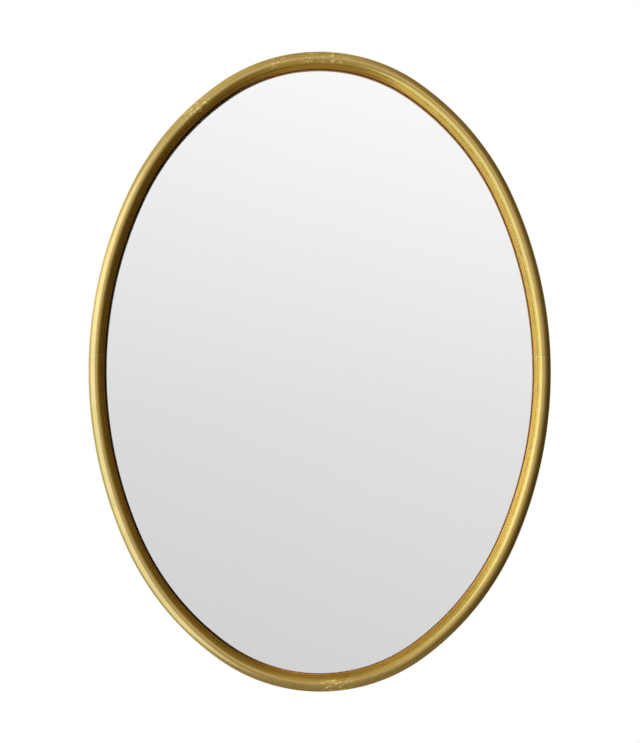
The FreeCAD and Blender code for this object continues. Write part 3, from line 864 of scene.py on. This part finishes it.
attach(hanger_screws, "mirror")
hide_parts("hanger_screws")

# Wall bumpers: four moulded black rubber feet with a slight taper and a rounded face, stuck to the board.
# They rest on the wall and keep the screws and the hangers off it.
bumper_angles = (50.0, 130.0, 230.0, 310.0)
bumper_inset = 27.0 * MM
bumper_sizes = {"Base Radius": 6.0 * MM, "Face Radius": 4.5 * MM, "Height": 5.0 * MM}
bumper_rounding = 0.8 * MM
board_back = 22.3 * MM
bumper_light = (0.06, 0.06, 0.06, 1)
bumper_dark = (0.03, 0.03, 0.03, 1)


def bumper_shape(tree, given):
    # A foot that tapers towards the wall
    inputs = {
        "Vertices": 64,
        "Radius Top": given["Face Radius"],
        "Radius Bottom": given["Base Radius"],
        "Depth": given["Height"],
    }
    return node(tree, "GeometryNodeMeshCone", inputs).outputs["Mesh"]


bumper_rubber = felted(
    "bumper_rubber", bumper_light, bumper_dark, grain=900.0, roughness=(0.5, 0.7), relief=0.04 * MM)
bumper_tree = turned_tree("bumpers", bumper_sizes, bumper_shape)
bumper_places = [(on_oval(angle, bumper_inset, board_back), 0.0) for angle in bumper_angles]
bumper_points = spin_points("bumper_points", bumper_places)
sharp_edges = {"limit_method": "ANGLE", "angle_limit": math.radians(50)}
rounding = ("BEVEL", {"width": bumper_rounding, "segments": 4, **sharp_edges})
bumpers = grow("bumpers", bumper_points, bumper_tree, bumper_sizes, bumper_rubber, [rounding])
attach(bumpers, "mirror")
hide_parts("wall_bumpers")

# Studio floor: a pale painted floor well below the hanging mirror and below the softbox.
# It grows clear towards its edges, so no line shows where it ends.
floor_level = -2.4
floor_reach = 3.4
floor_fade_start = 0.6
floor_fade_end = 2.6
floor_pale = (0.77, 0.74, 0.69, 1)
floor_shade = (0.73, 0.70, 0.65, 1)
floor_mesh = bpy.data.meshes.new("floor")
corner_signs = ((-1, -1), (1, -1), (1, 1), (-1, 1))
floor_corners = [(x * floor_reach, y * floor_reach, floor_level) for x, y in corner_signs]
floor_mesh.from_pydata(floor_corners, [], [(0, 1, 2, 3)])
floor = bpy.data.objects.new("floor", floor_mesh)
bpy.context.scene.collection.objects.link(floor)
floor_paint, floor_tree, floor_shader, floor_place = new_material("floor_paint")
floor_cloud = noise(floor_tree, floor_place, scale=2.0, detail=3.0)
floor_tone = mixed(floor_tree, floor_cloud, floor_pale, floor_shade)
floor_tree.links.new(floor_tone, floor_shader.inputs["Base Color"])
floor_shader.inputs["Roughness"].default_value = 0.8
level_place = {0: floor_place, 1: (1.0, 1.0, 0.0)}
floor_flat = node(floor_tree, "ShaderNodeVectorMath", level_place, operation="MULTIPLY").outputs[0]
floor_away = node(floor_tree, "ShaderNodeVectorMath", {0: floor_flat}, operation="LENGTH").outputs["Value"]
floor_layers = {
    0: spread(floor_tree, floor_away, floor_fade_start, floor_fade_end),
    1: floor_shader.outputs[0],
    2: node(floor_tree, "ShaderNodeBsdfTransparent").outputs[0],
}
floor_mix = node(floor_tree, "ShaderNodeMixShader", floor_layers)
floor_tree.links.new(floor_mix.outputs[0], floor_tree.nodes["Material Output"].inputs["Surface"])
floor_mesh.materials.append(floor_paint)

# Studio light: a tall, cool softbox at the left draws the highlight down that side of the brass, and a soft
# surround, light to the left and dark to the right, fills the rest and stands in the glass.
# The camera sees plain white round the mirror.
softbox_width = 2.1
softbox_height = 3.4
softbox_power = 19.6
softbox_tint = (0.75, 1.05, 1.70)
softbox_place = (-1.43, -0.85, -0.3)
surround_strength = 2.84
# The surround's tones, from -1 at the left to 1 at the right
sideways = [
    (-1.0, (0.44, 0.50, 0.58)),
    (-0.7, (0.42, 0.47, 0.55)),
    (-0.4, (0.45, 0.48, 0.52)),
    (-0.25, (0.38, 0.395, 0.415)),
    (-0.14, (0.335, 0.335, 0.335)),
    (0.22, (0.3685, 0.3685, 0.3685)),
    (0.28, (0.26, 0.255, 0.24)),
    (0.42, (0.185, 0.177, 0.15)),
    (0.6, (0.147, 0.139, 0.11)),
    (0.7, (0.13, 0.12, 0.09)),
    (0.8, (0.085, 0.077, 0.052)),
    (1.0, (0.045, 0.039, 0.022)),
]
# What they are multiplied by, from -1 straight down to 1 straight up
upward = [
    (-1.0, (0.45, 0.435, 0.38)),
    (-0.87, (0.56, 0.545, 0.47)),
    (-0.7, (0.62, 0.605, 0.53)),
    (-0.5, (0.56, 0.55, 0.49)),
    (-0.3, (0.68, 0.675, 0.64)),
    (-0.2, (0.66, 0.66, 0.66)),
    (0.06, (0.803, 0.803, 0.803)),
    (0.33, (1.05, 1.05, 1.05)),
    (0.4, (0.94, 0.93, 0.87)),
    (0.5, (0.70, 0.685, 0.605)),
    (0.7, (0.72, 0.705, 0.62)),
    (0.87, (0.72, 0.705, 0.62)),
    (1.0, (0.60, 0.59, 0.52)),
]
softbox_light = bpy.data.lights.new("softbox", "AREA")
softbox_light.shape = "RECTANGLE"
softbox_light.size = softbox_width
softbox_light.size_y = softbox_height
softbox_light.energy = softbox_power
softbox_light.color = softbox_tint
softbox = bpy.data.objects.new("softbox", softbox_light)
softbox.location = softbox_place
softbox.rotation_euler = (-softbox.location).to_track_quat("-Z", "Y").to_euler()
bpy.context.scene.collection.objects.link(softbox)


def tone_ramp(tree, value, stops):
    # A colour that follows a direction from -1 to 1 through a row of stops
    share = node(tree, "ShaderNodeMapRange", {"Value": value, "From Min": -1.0, "From Max": 1.0}).outputs[0]
    ramp = node(tree, "ShaderNodeValToRGB", {0: share})
    ramp.color_ramp.interpolation = "LINEAR"
    elements = ramp.color_ramp.elements
    elements[0].color = (*stops[0][1], 1)
    elements[-1].color = (*stops[-1][1], 1)
    for at, tone in stops[1:-1]:
        elements.new((at + 1) / 2).color = (*tone, 1)
    return ramp.outputs["Color"]


world = bpy.data.worlds.new("studio")
world.use_nodes = True
bpy.context.scene.world = world
sky = world.node_tree
surround = sky.nodes["Background"]
direction = node(sky, "ShaderNodeTexCoord").outputs["Generated"]
heading = node(sky, "ShaderNodeSeparateXYZ", {0: direction})
tones = {
    0: tone_ramp(sky, heading.outputs["X"], sideways),
    1: tone_ramp(sky, heading.outputs["Z"], upward),
}
studio_tone = node(sky, "ShaderNodeVectorMath", tones, operation="MULTIPLY").outputs[0]
sky.links.new(studio_tone, surround.inputs["Color"])
surround.inputs["Strength"].default_value = surround_strength
white = node(sky, "ShaderNodeBackground", {"Color": (1, 1, 1, 1), "Strength": 1.0})
seen = node(sky, "ShaderNodeLightPath").outputs["Is Camera Ray"]
backdrop = node(sky, "ShaderNodeMixShader", {0: seen, 1: surround.outputs[0], 2: white.outputs[0]})
sky.links.new(backdrop.outputs[0], sky.nodes["World Output"].inputs["Surface"])

# Camera: at the photograph's viewing angle, a little below the middle of the mirror and to its left,
# with a lens that gives the photograph's slight perspective.
sensor_width = 36.0
lens_length = 68.53
camera_target = Vector((-0.0010, -0.02, -0.0067))
camera_azimuth = math.radians(-1.8)
camera_elevation = math.radians(-5.0)
camera_distance = 1.54
camera_data = bpy.data.cameras.new("camera")
camera_data.sensor_fit = "AUTO"
camera_data.sensor_width = sensor_width
camera_data.lens = lens_length
camera = bpy.data.objects.new("camera", camera_data)
camera_back = Vector((
    math.sin(camera_azimuth) * math.cos(camera_elevation),
    -math.cos(camera_azimuth) * math.cos(camera_elevation),
    math.sin(camera_elevation),
))
camera.location = camera_target + camera_back * camera_distance
camera.rotation_euler = (-camera_back).to_track_quat("-Z", "Y").to_euler()
bpy.context.scene.collection.objects.link(camera)
bpy.context.scene.camera = camera
bpy.context.scene.view_settings.view_transform = "Standard"
